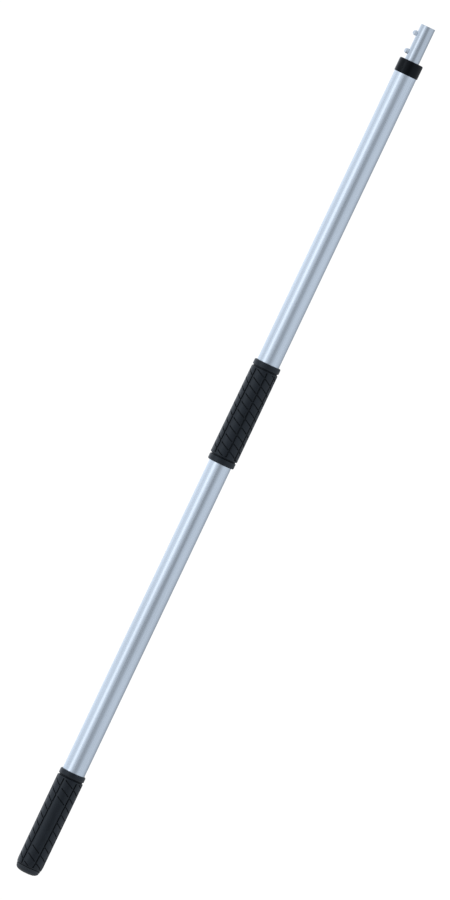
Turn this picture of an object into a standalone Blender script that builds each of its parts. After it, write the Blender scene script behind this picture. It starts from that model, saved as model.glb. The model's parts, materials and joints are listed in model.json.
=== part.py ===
"""Telescopic roller extension pole with a two-button quick-connect tip, closed to its shortest length.

Frame: metres, +Z runs up the pole's axis from the butt to the tip, and the origin is the centre of the butt's
flat end. The tip's two snap buttons point along -X, and the front of the pole, which carries the plain panel
of the bottom grip, faces -Y. An angle round the pole is measured from the front, -Y, towards +X.

The pole comes apart into an outer section (tube, grips, butt cap, collar and guide bush), an inner section
(tube, snap spring and twist-lock spindle), the lock's split sleeve, which slides in the outer tube without
turning, its wedge nut, and the two snap buttons, which are riveted to one leg of the spring and so swing in
together.
"""

import math

import bmesh
import bpy
from mathutils import Matrix

MM = 0.001

# Driving dimensions: lengths along Z and radii, in metres.
CLOSED_LENGTH = 987.1 * MM
TRAVEL = 842.0 * MM  # how far the inner section pulls out before its plug meets the guide bush
OUTER_RADIUS = 12.5 * MM
OUTER_WALL = 1.2 * MM
INNER_RADIUS = 8.0 * MM
INNER_WALL = 1.1 * MM
SIDES = 48  # facets round every turned piece, so that coaxial facets line up
FIT = 0.2 * MM  # radial gap of pieces that are fixed to each other
SLIDE_FIT = 0.3 * MM  # radial gap of pieces that slide or turn
STACK = 0.3 * MM  # gap between faces that rest on each other

OUTER_BORE = OUTER_RADIUS - OUTER_WALL
INNER_BORE = INNER_RADIUS - INNER_WALL

# Butt cap: a domed plug closing the outer tube.
BUTT_FLAT_RADIUS = 5.0 * MM
BUTT_DOME_RADIUS = 12.6 * MM
BUTT_DOME_HEIGHT = 4.8 * MM
BUTT_RIM_RADIUS = 13.3 * MM
BUTT_RIM_TOP = 7.0 * MM
BUTT_STEM_BORE = 7.7 * MM  # clears the stop nut, and the stop washer rests on the stem when the pole is closed
BUTT_FLOOR = 3.0 * MM

# Grips: rubber sleeves with a flange ring, a notch, and long grooves between raised panels.
GRIP_NOTCH_WIDTH = 1.9 * MM
GRIP_NOTCH_DEPTH = 1.3 * MM
GRIP_FLANGE_WIDTH = 5.9 * MM
GRIP_EDGE_ROUND = 1.1 * MM
GROOVE_WIDTH = 1.3 * MM
GROOVE_DEPTH = 0.9 * MM
GROOVES = 7
BOTTOM_GRIP_START = 7.6 * MM
BOTTOM_GRIP_END = 117.7 * MM
BOTTOM_GRIP_RADIUS = 14.2 * MM
BOTTOM_GRIP_TWIST = math.radians(10)
BOTTOM_GRIP_FIRST = math.radians(-31.5)
BOTTOM_GRIP_PANELS = [math.radians(60)]  # the panels with a width of their own, then the rest share what is left
MID_GRIP_START = 478.3 * MM
MID_GRIP_END = 595.2 * MM
MID_GRIP_RADIUS = 14.75 * MM
MID_GRIP_TWIST = math.radians(5)
MID_GRIP_FIRST = math.radians(-41)
MID_GRIP_PANELS = [math.radians(51.75), math.radians(42)]

# Collar over the outer tube's mouth, and the guide bush that it holds there.
COLLAR_START = 931.4 * MM
COLLAR_END = 946.8 * MM
COLLAR_RADIUS = 13.2 * MM
COLLAR_TOP_WALL = 1.9 * MM
COLLAR_TOP_ROUND = 1.1 * MM
COLLAR_FOOT_ROUND = 0.4 * MM
COLLAR_MOUTH = INNER_RADIUS + 0.5 * MM
BUSH_FLANGE = 1.3 * MM
OUTER_TUBE_START = BUTT_RIM_TOP + STACK
OUTER_TUBE_END = COLLAR_END - COLLAR_TOP_WALL - BUSH_FLANGE - 2 * STACK
RIVET_HEIGHT = 937.4 * MM
RIVETS = {"collar_rivet_front": math.radians(-31), "collar_rivet_back": math.radians(149)}
RIVET_RADIUS = 0.8 * MM
RIVET_HEAD_RADIUS = 1.1 * MM
RIVET_HEAD = 0.2 * MM
RIVET_DEPTH = 3.7 * MM

# Snap buttons and the hairpin spring that carries both, inside the tip.
BUTTON_HEIGHTS = {"button_lower": 954.9 * MM, "button_upper": 975.7 * MM}
BUTTON_RADIUS = 2.8 * MM
BUTTON_REACH = 4.4 * MM  # how far a button stands out of the inner tube
BUTTON_FLANGE_RADIUS = 3.4 * MM
BUTTON_FLANGE = 0.6 * MM
BUTTON_FLANGE_OUT = 5.8 * MM  # the flange's outer face, from the axis
BUTTON_NECK_RADIUS = 1.0 * MM
BUTTON_HOLE_RADIUS = BUTTON_RADIUS + 0.3 * MM
BUTTON_TAIL_RADIUS = 1.8 * MM
BUTTON_TAIL = 0.7 * MM
SPRING_GAUGE = 0.6 * MM
SPRING_WIDTH = 6.0 * MM
SPRING_TOP = 982.5 * MM
SPRING_BEND = 875.0 * MM  # the height of the hinge that stands for the strip's bending
SPRING_BACK_TOP = 940.0 * MM
SPRING_BACK_OUT = 5.95 * MM  # the back leg's outer face, from the axis

# Twist lock, from the inner tube's lower end down to the stud's end.
THREAD_RADIUS = 4.0 * MM
STUD_START = 22.6 * MM
STUD_END = 92.0 * MM
NUT_ACROSS_FLATS = 13.0 * MM
NUT_START = 23.2 * MM
NUT_HEIGHT = 5.1 * MM
WASHER_START = NUT_START + NUT_HEIGHT + STACK
WASHER_RADIUS = 8.0 * MM
WASHER_GAUGE = 1.0 * MM
WEDGE_START = WASHER_START + WASHER_GAUGE + STACK
WEDGE_FOOT = 2.0 * MM
WEDGE_LENGTH = 18.0 * MM
SLEEVE_START = 38.0 * MM
SLEEVE_END = 65.0 * MM
SLEEVE_RADIUS = OUTER_BORE - 0.4 * MM
SLEEVE_WEB = 6.0 * MM
SLEEVE_MOUTH_RADIUS = 9.3 * MM
SLEEVE_THROAT_RADIUS = 5.8 * MM
SLEEVE_SLOTS = 3
SLOT_WIDTH = 2.4 * MM
SLOT_LENGTH = 18.0 * MM
WEDGE_CLEARANCE = 0.4 * MM  # between the cones, enough for the lock's whole travel
WEDGE_KEY_WIDTH = 1.6 * MM
DRAG_RING_HEIGHT = 61.6 * MM
DRAG_RING_SECTION = 0.8 * MM
PLUG_FLANGE_START = SLEEVE_END + STACK
INNER_TUBE_START = 72.8 * MM
PLUG_FLANGE_END = INNER_TUBE_START - STACK
BUSH_START = PLUG_FLANGE_END + TRAVEL + STACK
BUTT_STEM_TOP = WASHER_START - STACK
PLUG_END = 104.0 * MM
PIN_HEIGHT = 98.0 * MM
PIN_RADIUS = 1.5 * MM

MATERIALS = {
    "anodised_aluminium": ((0.60, 0.68, 0.78), 0.32, 1.0),
    "black_rubber": ((0.022, 0.024, 0.028), 0.62, 0.0),
    "black_plastic": ((0.012, 0.013, 0.016), 0.38, 0.0),
    "white_acetal": ((0.78, 0.78, 0.75), 0.45, 0.0),
    "grey_nylon": ((0.20, 0.21, 0.23), 0.50, 0.0),
    "zinc_steel": ((0.62, 0.64, 0.66), 0.30, 1.0),
    "spring_steel": ((0.40, 0.41, 0.43), 0.28, 1.0),
    "stainless_steel": ((0.68, 0.70, 0.72), 0.22, 1.0),
}


def material(name):
    found = bpy.data.materials.get(name)
    if found:
        return found
    colour, roughness, metallic = MATERIALS[name]
    made = bpy.data.materials.new(name)
    made.use_nodes = True
    shader = made.node_tree.nodes["Principled BSDF"]
    shader.inputs["Base Color"].default_value = (*colour, 1.0)
    shader.inputs["Roughness"].default_value = roughness
    shader.inputs["Metallic"].default_value = metallic
    made.diffuse_color = (*colour, 1.0)
    return made


def finish(name, shape, material_name):
    """Makes the bmesh an object with its faces pointing out and its round sides shaded smooth."""
    bmesh.ops.recalc_face_normals(shape, faces=shape.faces)
    mesh = bpy.data.meshes.new(name)
    shape.to_mesh(mesh)
    shape.free()
    mesh.shade_smooth()
    mesh.set_sharp_from_angle(angle=math.radians(32))
    made = bpy.data.objects.new(name, mesh)
    if material_name:
        mesh.materials.append(material(material_name))
    bpy.context.scene.collection.objects.link(made)
    return made


def arc(centre_r, centre_z, radius, start, end, steps=5):
    """Points of an arc in the (radius, height) plane. Angles are in degrees, from +radius towards +height."""
    turns = [math.radians(start + (end - start) * i / steps) for i in range(steps + 1)]
    return [(centre_r + radius * math.cos(a), centre_z + radius * math.sin(a)) for a in turns]


def loft(shape, rings):
    """Joins closed rings of points into a tube, each ring to the next. A ring of one point closes the end."""
    made = [[shape.verts.new(point) for point in ring] for ring in rings]
    for lower, upper in zip(made, made[1:]):
        count = max(len(lower), len(upper))
        for i in range(count):
            j = (i + 1) % count
            if len(lower) == 1:
                shape.faces.new((lower[0], upper[j], upper[i]))
            elif len(upper) == 1:
                shape.faces.new((lower[i], lower[j], upper[0]))
            else:
                shape.faces.new((lower[i], lower[j], upper[j], upper[i]))
    return made


def circle(radius, height, sides=SIDES):
    """A ring of points round the Z axis, or the axis point itself where the radius is nothing."""
    if radius == 0:
        return [(0, 0, height)]
    turns = [2 * math.pi * i / sides for i in range(sides)]
    return [(radius * math.cos(a), radius * math.sin(a), height) for a in turns]


def turned(profile, sides=SIDES):
    """A solid of revolution. The profile starts and ends on the axis, or else closes on itself round a bore."""
    shape = bmesh.new()
    rings = [circle(radius, height, sides) for radius, height in profile]
    made = loft(shape, rings)
    if len(made[0]) > 1:
        first, last = made[0], made[-1]
        for i in range(sides):
            j = (i + 1) % sides
            shape.faces.new((last[i], last[j], first[j], first[i]))
    return shape


def tube_profile(inner, outer, start, end, chamfer=0.0):
    """A plain tube's section, with both outer edges chamfered."""
    return [
        (inner, start),
        (outer - chamfer, start),
        *([(outer, start + chamfer), (outer, end - chamfer)] if chamfer else []),
        (outer - chamfer, end),
        (inner, end),
    ]


def lay_along(shape, direction, place):
    """Turns a shape made round +Z so that its +Z points along direction, and moves it to place."""
    turn = direction.to_track_quat("Z", "Y").to_matrix().to_4x4()
    bmesh.ops.transform(shape, matrix=Matrix.Translation(place) @ turn, verts=shape.verts)
    return shape


def outwards(angle):
    """The unit vector away from the axis at an angle round the pole, measured from the front towards +X."""
    return Matrix.Rotation(angle, 3, "Z").col[1] * -1


def joined(shapes):
    """One bmesh with several separate shapes in it."""
    whole = bmesh.new()
    for shape in shapes:
        mesh = bpy.data.meshes.new("loose")
        shape.to_mesh(mesh)
        shape.free()
        whole.from_mesh(mesh)
        bpy.data.meshes.remove(mesh)
    return whole


def cut(target, name, shape):
    """Cuts a shape out of an object with a Boolean modifier, and keeps the cutter as a hidden helper."""
    cutter = finish(name, shape, None)
    cutter.hide_render = True
    cutter.display_type = "WIRE"
    modifier = target.modifiers.new(name, "BOOLEAN")
    modifier.operation = "DIFFERENCE"
    modifier.solver = "EXACT"
    modifier.object = cutter


def radial_holes(radius, height, angles, inner, outer, sides=24):
    """Round cutters pointing away from the axis, one for each angle."""
    made = []
    for angle in angles:
        hole = turned([(0, inner), (radius, inner), (radius, outer), (0, outer)], sides)
        made.append(lay_along(hole, outwards(angle), (0, 0, height)))
    return joined(made)


# ---------------------------------------------------------------- outer section


def butt_cap():
    round_width = BUTT_DOME_RADIUS - BUTT_FLAT_RADIUS
    dome = []
    for i in range(7):
        turn = math.radians(15 * i)
        radius = BUTT_FLAT_RADIUS + round_width * math.sin(turn)
        dome.append((radius, BUTT_DOME_HEIGHT * (1 - math.cos(turn))))
    stem = OUTER_BORE - FIT
    profile = [
        (0, 0),
        *dome,
        (BUTT_RIM_RADIUS, BUTT_RIM_TOP),
        (stem, BUTT_RIM_TOP),
        (stem, BUTT_STEM_TOP - 1.0 * MM),
        (stem - 0.8 * MM, BUTT_STEM_TOP),
        (BUTT_STEM_BORE, BUTT_STEM_TOP),
        (BUTT_STEM_BORE, BUTT_FLOOR),
        (0, BUTT_FLOOR),
    ]
    return finish("butt_cap", turned(profile), "black_rubber")


def outer_tube():
    profile = tube_profile(OUTER_BORE, OUTER_RADIUS, OUTER_TUBE_START, OUTER_TUBE_END, 0.3 * MM)
    tube = finish("outer_tube", turned(profile), "anodised_aluminium")
    holes = radial_holes(RIVET_RADIUS + FIT, RIVET_HEIGHT, RIVETS.values(), OUTER_BORE - MM, OUTER_RADIUS + MM)
    cut(tube, "outer_tube_rivet_holes", holes)
    return tube


def groove_angles(first, own_panels):
    """The long grooves' angles, a panel's width apart. Panels without a width of their own share the rest."""
    shared = (2 * math.pi - sum(own_panels)) / (GROOVES - len(own_panels))
    widths = own_panels + [shared] * (GROOVES - len(own_panels))
    return [first + sum(widths[:i]) for i in range(GROOVES)], widths


def grip_section(radius, first, own_panels):
    """One turn of the grip's outline: (angle, depth below the panels), with the grooves' lips and floors."""
    lip = GROOVE_WIDTH / 2 / radius
    floor = lip * 0.55
    outline = []
    for angle, width in zip(*groove_angles(first, own_panels)):
        outline += [(angle - lip, 0), (angle - floor, GROOVE_DEPTH), (angle + floor, GROOVE_DEPTH)]
        outline += [(angle + lip, 0)]
        steps = 6
        pad = width - 2 * lip
        outline += [(angle + lip + pad * i / steps, 0) for i in range(1, steps)]
    return outline


def grip(name, start, end, radius, twist, first, own_panels, flanges):
    """A rubber sleeve lofted from rings that share the outline's angles. flanges is "both" ends or "top" only."""
    outline = grip_section(radius, first, own_panels)
    middle = (start + end) / 2

    def ring(ring_radius, height, grooved=False):
        turn = twist * (height - middle) / (end - start)
        points = []
        for angle, depth in outline:
            away = outwards(angle + turn) * (ring_radius - (depth if grooved else 0))
            points.append((away.x, away.y, height))
        return points

    bore = OUTER_RADIUS + FIT
    notch = radius - GRIP_NOTCH_DEPTH
    soft = GRIP_EDGE_ROUND
    body_top = end - GRIP_FLANGE_WIDTH - GRIP_NOTCH_WIDTH
    rings = [ring(bore, start)]
    if flanges == "both":
        body_bottom = start + GRIP_FLANGE_WIDTH + GRIP_NOTCH_WIDTH
        rounding = arc(radius - soft, start + soft, soft, -90, 0, 3)
        rings += [ring(r, z) for r, z in rounding]
        rings += [ring(radius, body_bottom - GRIP_NOTCH_WIDTH)]
        rings += [ring(notch, body_bottom - GRIP_NOTCH_WIDTH), ring(notch, body_bottom)]
    else:
        body_bottom = start + 5 * MM
        rings += [ring(BUTT_RIM_RADIUS + 0.1 * MM, start), ring(radius - 0.6 * MM, start + 1.5 * MM)]
        rings += [ring(radius - 0.45 * MM, start + 2.0 * MM, grooved=True)]
    rings += [ring(radius, body_bottom, grooved=True), ring(radius, body_top, grooved=True)]
    rings += [ring(notch, body_top), ring(notch, body_top + GRIP_NOTCH_WIDTH)]
    rings += [ring(radius, body_top + GRIP_NOTCH_WIDTH)]
    rings += [ring(r, z) for r, z in arc(radius - soft, end - soft, soft, 0, 90, 3)]
    rings += [ring(bore, end)]

    shape = bmesh.new()
    made = loft(shape, rings)
    count = len(outline)
    for i in range(count):
        j = (i + 1) % count
        shape.faces.new((made[-1][i], made[-1][j], made[0][j], made[0][i]))
    bmesh.ops.triangulate(shape, faces=[f for f in shape.faces if len(f.verts) > 4])
    return finish(name, shape, "black_rubber")


def top_collar():
    inner = OUTER_RADIUS + 0.15 * MM
    wall_start = COLLAR_END - COLLAR_TOP_WALL
    foot, head = COLLAR_FOOT_ROUND, COLLAR_TOP_ROUND
    profile = [
        (COLLAR_MOUTH, wall_start),
        (inner, wall_start),
        (inner, COLLAR_START),
        *arc(COLLAR_RADIUS - foot, COLLAR_START + foot, foot, -90, 0, 3),
        *arc(COLLAR_RADIUS - head, COLLAR_END - head, head, 0, 90, 5),
        (COLLAR_MOUTH + 0.3 * MM, COLLAR_END),
        (COLLAR_MOUTH, COLLAR_END - 0.3 * MM),
    ]
    collar = finish("top_collar", turned(profile), "black_plastic")
    holes = radial_holes(RIVET_RADIUS + FIT, RIVET_HEIGHT, RIVETS.values(), OUTER_RADIUS - MM, COLLAR_RADIUS + MM)
    cut(collar, "collar_rivet_holes", holes)
    return collar


def guide_bush():
    bore = INNER_RADIUS + SLIDE_FIT
    outside = OUTER_BORE - FIT
    flange_start = OUTER_TUBE_END + STACK
    flange_end = flange_start + BUSH_FLANGE
    profile = [
        (bore, BUSH_START),
        (outside - 0.4 * MM, BUSH_START),
        (outside, BUSH_START + 1.0 * MM),
        (outside, flange_start),
        (OUTER_RADIUS - 0.1 * MM, flange_start),
        (OUTER_RADIUS - 0.1 * MM, flange_end),
        (bore, flange_end),
    ]
    bush = finish("guide_bush", turned(profile), "white_acetal")
    holes = radial_holes(RIVET_RADIUS + FIT, RIVET_HEIGHT, RIVETS.values(), bore + 0.5 * MM, OUTER_BORE + MM)
    cut(bush, "guide_bush_rivet_holes", holes)
    return bush


def collar_rivets():
    head_start = COLLAR_RADIUS + 0.1 * MM
    shank_start = head_start - RIVET_DEPTH
    profile = [
        (0, shank_start),
        (RIVET_RADIUS, shank_start),
        (RIVET_RADIUS, head_start),
        (RIVET_HEAD_RADIUS, head_start),
        (RIVET_HEAD_RADIUS * 0.7, head_start + RIVET_HEAD),
        (0, head_start + RIVET_HEAD),
    ]
    rivets = []
    for name, angle in RIVETS.items():
        shape = lay_along(turned(profile, 24), outwards(angle), (0, 0, RIVET_HEIGHT))
        rivets.append(finish(name, shape, "black_plastic"))
    return rivets


# ---------------------------------------------------------------- inner section

BUTTON_SIDE = -math.pi / 2  # the angle of -X


def inner_tube():
    profile = tube_profile(INNER_BORE, INNER_RADIUS, INNER_TUBE_START, CLOSED_LENGTH, 0.25 * MM)
    tube = finish("inner_tube", turned(profile), "anodised_aluminium")
    for name, height in BUTTON_HEIGHTS.items():
        hole = radial_holes(BUTTON_HOLE_RADIUS, height, [BUTTON_SIDE], INNER_BORE - 3 * MM, INNER_RADIUS + MM)
        cut(tube, name + "_hole", hole)
    ends = [0, math.pi]
    pin_holes = radial_holes(PIN_RADIUS + FIT, PIN_HEIGHT, ends, INNER_BORE - MM, INNER_RADIUS + MM)
    cut(tube, "plug_pin_holes", pin_holes)
    return tube


def spring_leg_centre():
    """How far the middle of the spring's front leg lies from the axis, just behind the buttons' flanges."""
    return BUTTON_FLANGE_OUT - BUTTON_FLANGE - STACK - SPRING_GAUGE / 2


def snap_spring():
    """A hairpin of strip steel: the front leg carries both buttons, and the back leg presses on the far wall."""
    front = -spring_leg_centre()
    back = SPRING_BACK_OUT - SPRING_GAUGE / 2
    middle, bend = (front + back) / 2, (back - front) / 2
    half = SPRING_GAUGE / 2

    def side(offset):
        """One face of the strip, from the front leg's top round the bend to the back leg's top."""
        turns = [math.radians(180 + 15 * i) for i in range(13)]
        radius = bend + offset
        round_part = [(middle + radius * math.cos(a), SPRING_BEND + radius * math.sin(a)) for a in turns]
        return [(front - offset, SPRING_TOP), *round_part, (back + offset, SPRING_BACK_TOP)]

    outline = side(half) + side(-half)[::-1]
    shape = bmesh.new()
    near = [shape.verts.new((x, -SPRING_WIDTH / 2, z)) for x, z in outline]
    far = [shape.verts.new((x, SPRING_WIDTH / 2, z)) for x, z in outline]
    count = len(outline)
    for i in range(count):
        j = (i + 1) % count
        shape.faces.new((near[i], near[j], far[j], far[i]))
    for row in (near, far):
        for i in range(count // 2 - 1):
            shape.faces.new((row[i], row[i + 1], row[count - 2 - i], row[count - 1 - i]))
    spring = finish("snap_spring", shape, "spring_steel")
    for name, height in BUTTON_HEIGHTS.items():
        reach = spring_leg_centre()
        hole = radial_holes(BUTTON_NECK_RADIUS + SLIDE_FIT, height, [BUTTON_SIDE], reach - MM, reach + MM)
        cut(spring, name + "_spring_hole", hole)
    return spring


def snap_button(name, height):
    """A domed pin with a flange inside the tube and a neck riveted through the spring's front leg."""
    tip = INNER_RADIUS + BUTTON_REACH
    flange_in = BUTTON_FLANGE_OUT - BUTTON_FLANGE
    tail_out = flange_in - 2 * STACK - SPRING_GAUGE
    dome = BUTTON_RADIUS * 0.9
    profile = [
        (0, tail_out - BUTTON_TAIL),
        (BUTTON_TAIL_RADIUS * 0.8, tail_out - BUTTON_TAIL),
        (BUTTON_TAIL_RADIUS, tail_out),
        (BUTTON_NECK_RADIUS, tail_out),
        (BUTTON_NECK_RADIUS, flange_in),
        (BUTTON_FLANGE_RADIUS, flange_in),
        (BUTTON_FLANGE_RADIUS, BUTTON_FLANGE_OUT),
        (BUTTON_RADIUS, BUTTON_FLANGE_OUT),
        *[(r + BUTTON_RADIUS - dome, z) for r, z in arc(0, tip - dome, dome, 0, 75, 5)],
        (0, tip),
    ]
    shape = lay_along(turned(profile, 24), outwards(BUTTON_SIDE), (0, 0, height))
    return finish(name, shape, "stainless_steel")


# ---------------------------------------------------------------- twist lock


def lock_plug():
    """Pinned into the inner tube. Its flange runs in the outer tube and stops against the guide bush."""
    stem = INNER_BORE - FIT
    stud_bore = THREAD_RADIUS + FIT
    profile = [
        (stud_bore, PLUG_FLANGE_START),
        (OUTER_BORE - SLIDE_FIT - 0.5 * MM, PLUG_FLANGE_START),
        (OUTER_BORE - SLIDE_FIT, PLUG_FLANGE_START + 0.5 * MM),
        (OUTER_BORE - SLIDE_FIT, PLUG_FLANGE_END),
        (stem, PLUG_FLANGE_END),
        (stem, PLUG_END - 1.0 * MM),
        (stem - 0.8 * MM, PLUG_END),
        (0, PLUG_END),
        (0, STUD_END + STACK),
        (stud_bore, STUD_END + STACK),
    ]
    shape = bmesh.new()
    made = loft(shape, [circle(r, z) for r, z in profile[:8]])
    floor = loft(shape, [circle(r, z) for r, z in profile[8:]])
    for i in range(SIDES):
        j = (i + 1) % SIDES
        shape.faces.new((floor[-1][i], floor[-1][j], made[0][j], made[0][i]))
    plug = finish("lock_plug", shape, "grey_nylon")
    reach = INNER_BORE + MM
    through = radial_holes(PIN_RADIUS + FIT, PIN_HEIGHT, [0], -reach, reach)
    cut(plug, "plug_cross_hole", through)
    return plug


def plug_pin():
    reach = INNER_RADIUS - FIT
    profile = [(0, -reach), (PIN_RADIUS, -reach), (PIN_RADIUS, reach), (0, reach)]
    shape = lay_along(turned(profile, 24), outwards(0), (0, 0, PIN_HEIGHT))
    return finish("plug_pin", shape, "zinc_steel")


def lock_stud():
    point = 0.6 * MM
    profile = [
        (0, STUD_START),
        (THREAD_RADIUS - point, STUD_START),
        (THREAD_RADIUS, STUD_START + point),
        (THREAD_RADIUS, STUD_END),
        (0, STUD_END),
    ]
    return finish("lock_stud", turned(profile), "zinc_steel")


def stop_washer():
    profile = tube_profile(THREAD_RADIUS + FIT, WASHER_RADIUS, WASHER_START, WASHER_START + WASHER_GAUGE)
    return finish("stop_washer", turned(profile), "zinc_steel")


def stop_nut():
    shape = bmesh.new()
    corner = NUT_ACROSS_FLATS / 2 / math.cos(math.pi / 6)
    top = NUT_START + NUT_HEIGHT
    bevel = 0.6 * MM
    rings = [(corner - bevel, NUT_START), (corner, NUT_START + bevel)]
    rings += [(corner, top - bevel), (corner - bevel, top)]
    outside = loft(shape, [circle(r, z, 6) for r, z in rings])
    bore = loft(shape, [circle(THREAD_RADIUS + FIT, z, 24) for z in (NUT_START, top)])
    for hexagon, ring in ((outside[0], bore[0]), (outside[-1], bore[-1])):
        for i in range(6):
            corner_of = hexagon[i]
            for step in range(4):
                a, b = ring[(4 * i + step - 2) % 24], ring[(4 * i + step - 1) % 24]
                shape.faces.new((corner_of, a, b))
            shape.faces.new((corner_of, ring[(4 * i + 2) % 24], hexagon[(i + 1) % 6]))
    return finish("stop_nut", shape, "zinc_steel")


def cone_radius(height):
    """The sleeve's inner cone at a height: widest at its open mouth, below."""
    share = (height - SLEEVE_START) / (SLEEVE_END - SLEEVE_WEB - SLEEVE_START)
    return SLEEVE_MOUTH_RADIUS + (SLEEVE_THROAT_RADIUS - SLEEVE_MOUTH_RADIUS) * share


def expansion_sleeve():
    """A slotted nylon sleeve round the wedge, with a groove near its top for the drag ring."""
    web = SLEEVE_END - SLEEVE_WEB
    floor = SLEEVE_RADIUS - 1.5 * MM
    ring_half = DRAG_RING_SECTION + FIT
    profile = [
        (THREAD_RADIUS + SLIDE_FIT, web),
        (SLEEVE_THROAT_RADIUS, web),
        (SLEEVE_MOUTH_RADIUS, SLEEVE_START),
        (SLEEVE_RADIUS - 0.4 * MM, SLEEVE_START),
        (SLEEVE_RADIUS, SLEEVE_START + 0.8 * MM),
        (SLEEVE_RADIUS, DRAG_RING_HEIGHT - ring_half),
        (floor, DRAG_RING_HEIGHT - ring_half),
        (floor, DRAG_RING_HEIGHT + ring_half),
        (SLEEVE_RADIUS, DRAG_RING_HEIGHT + ring_half),
        (SLEEVE_RADIUS, SLEEVE_END),
        (THREAD_RADIUS + SLIDE_FIT, SLEEVE_END),
    ]
    sleeve = finish("expansion_sleeve", turned(profile), "white_acetal")
    slots = []
    for i in range(SLEEVE_SLOTS):
        slot = bmesh.new()
        bmesh.ops.create_cube(slot, size=1.0)
        size = (SLOT_WIDTH, SLEEVE_RADIUS + MM, SLOT_LENGTH + MM)
        bmesh.ops.scale(slot, vec=size, verts=slot.verts)
        middle = (0, -(SLEEVE_RADIUS + MM) / 2 - 2 * MM, SLEEVE_START + SLOT_LENGTH / 2 - MM / 2)
        bmesh.ops.translate(slot, vec=middle, verts=slot.verts)
        turn = Matrix.Rotation(2 * math.pi * i / SLEEVE_SLOTS, 4, "Z")
        bmesh.ops.transform(slot, matrix=turn, verts=slot.verts)
        slots.append(slot)
    cut(sleeve, "sleeve_slots", joined(slots))
    return sleeve


def drag_ring():
    """The rubber ring that rubs on the outer tube's wall and keeps the sleeve from turning."""
    section = DRAG_RING_SECTION
    middle = OUTER_BORE - FIT - section
    profile = arc(middle, DRAG_RING_HEIGHT, section, 0, 324, 9)
    return finish("drag_ring", turned(profile), "black_rubber")


def wedge_nut():
    """The cone that the stud draws into the sleeve, with three keys that run in the sleeve's slots."""
    bore = THREAD_RADIUS + FIT
    foot_end = WEDGE_START + WEDGE_FOOT
    top = WEDGE_START + WEDGE_LENGTH
    widest = cone_radius(SLEEVE_START) - WEDGE_CLEARANCE
    profile = [
        (bore, WEDGE_START),
        (widest, WEDGE_START),
        (widest, SLEEVE_START),
        (cone_radius(top) - WEDGE_CLEARANCE, top),
        (bore, top),
    ]
    wedge = finish("wedge_nut", turned(profile), "grey_nylon")
    keys = []
    for i in range(SLEEVE_SLOTS):
        key = bmesh.new()
        bmesh.ops.create_cube(key, size=1.0)
        inner, outer = bore + 0.6 * MM, SLEEVE_RADIUS - 0.5 * MM
        height = top - 1.5 * MM - foot_end
        bmesh.ops.scale(key, vec=(WEDGE_KEY_WIDTH, outer - inner, height), verts=key.verts)
        bmesh.ops.translate(key, vec=(0, -(inner + outer) / 2, foot_end + height / 2), verts=key.verts)
        turn = Matrix.Rotation(2 * math.pi * i / SLEEVE_SLOTS, 4, "Z")
        bmesh.ops.transform(key, matrix=turn, verts=key.verts)
        keys.append(key)
    helper = finish("wedge_keys", joined(keys), None)
    helper.hide_render = True
    helper.display_type = "WIRE"
    union = wedge.modifiers.new("wedge_keys", "BOOLEAN")
    union.operation = "UNION"
    union.solver = "EXACT"
    union.object = helper
    return wedge


# Each moving body's empty lies on its joint's axis.
BODIES = {
    "outer_section": (0, 0, 0),
    "lock_sleeve": (0, 0, SLEEVE_START),
    "lock_wedge": (0, 0, WEDGE_START),
    "inner_section": (0, 0, STUD_START),
    "snap_buttons": (-spring_leg_centre(), 0, SPRING_BEND),
}


def hang(thing, carrier):
    """Parents a piece or a body's empty to an empty, and leaves it where it is."""
    thing.parent = bpy.data.objects[carrier]
    thing.matrix_parent_inverse = Matrix.Translation(BODIES[carrier]).inverted()


def body(name, carrier, pieces):
    """An empty on the body's joint axis, carried by another body's empty, with the body's pieces on it."""
    hub = bpy.data.objects.new(name, None)
    hub.empty_display_size = 20 * MM
    hub.location = BODIES[name]
    bpy.context.scene.collection.objects.link(hub)
    if carrier:
        hang(hub, carrier)
    for piece in pieces:
        hang(piece, name)


def main():
    for leftover in list(bpy.data.objects):
        bpy.data.objects.remove(leftover)
    bottom_panels = (BOTTOM_GRIP_TWIST, BOTTOM_GRIP_FIRST, BOTTOM_GRIP_PANELS)
    bottom_size = (BOTTOM_GRIP_START, BOTTOM_GRIP_END, BOTTOM_GRIP_RADIUS)
    mid_panels = (MID_GRIP_TWIST, MID_GRIP_FIRST, MID_GRIP_PANELS)
    mid_size = (MID_GRIP_START, MID_GRIP_END, MID_GRIP_RADIUS)
    grips = [
        grip("bottom_grip", *bottom_size, *bottom_panels, "top"),
        grip("mid_grip", *mid_size, *mid_panels, "both"),
    ]
    fixed = [butt_cap(), outer_tube(), *grips, top_collar(), guide_bush(), *collar_rivets()]
    body("outer_section", None, fixed)
    body("lock_sleeve", "outer_section", [expansion_sleeve(), drag_ring()])
    body("lock_wedge", "lock_sleeve", [wedge_nut()])
    spindle = [lock_plug(), plug_pin(), lock_stud(), stop_washer(), stop_nut()]
    body("inner_section", "lock_sleeve", [inner_tube(), *spindle, snap_spring()])
    buttons = [snap_button(name, height) for name, height in BUTTON_HEIGHTS.items()]
    body("snap_buttons", "inner_section", buttons)


main()
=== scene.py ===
"""The looks of a closed telescopic roller extension pole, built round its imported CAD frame.

Lengths are in metres in the frame's own axes: +Z up the pole, the snap buttons towards -X, and the front
towards -Y. Angles round the pole are in degrees from the front, positive towards +X.
"""

import json
import math

import bmesh
import bpy
from mathutils import Matrix, Vector


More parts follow.
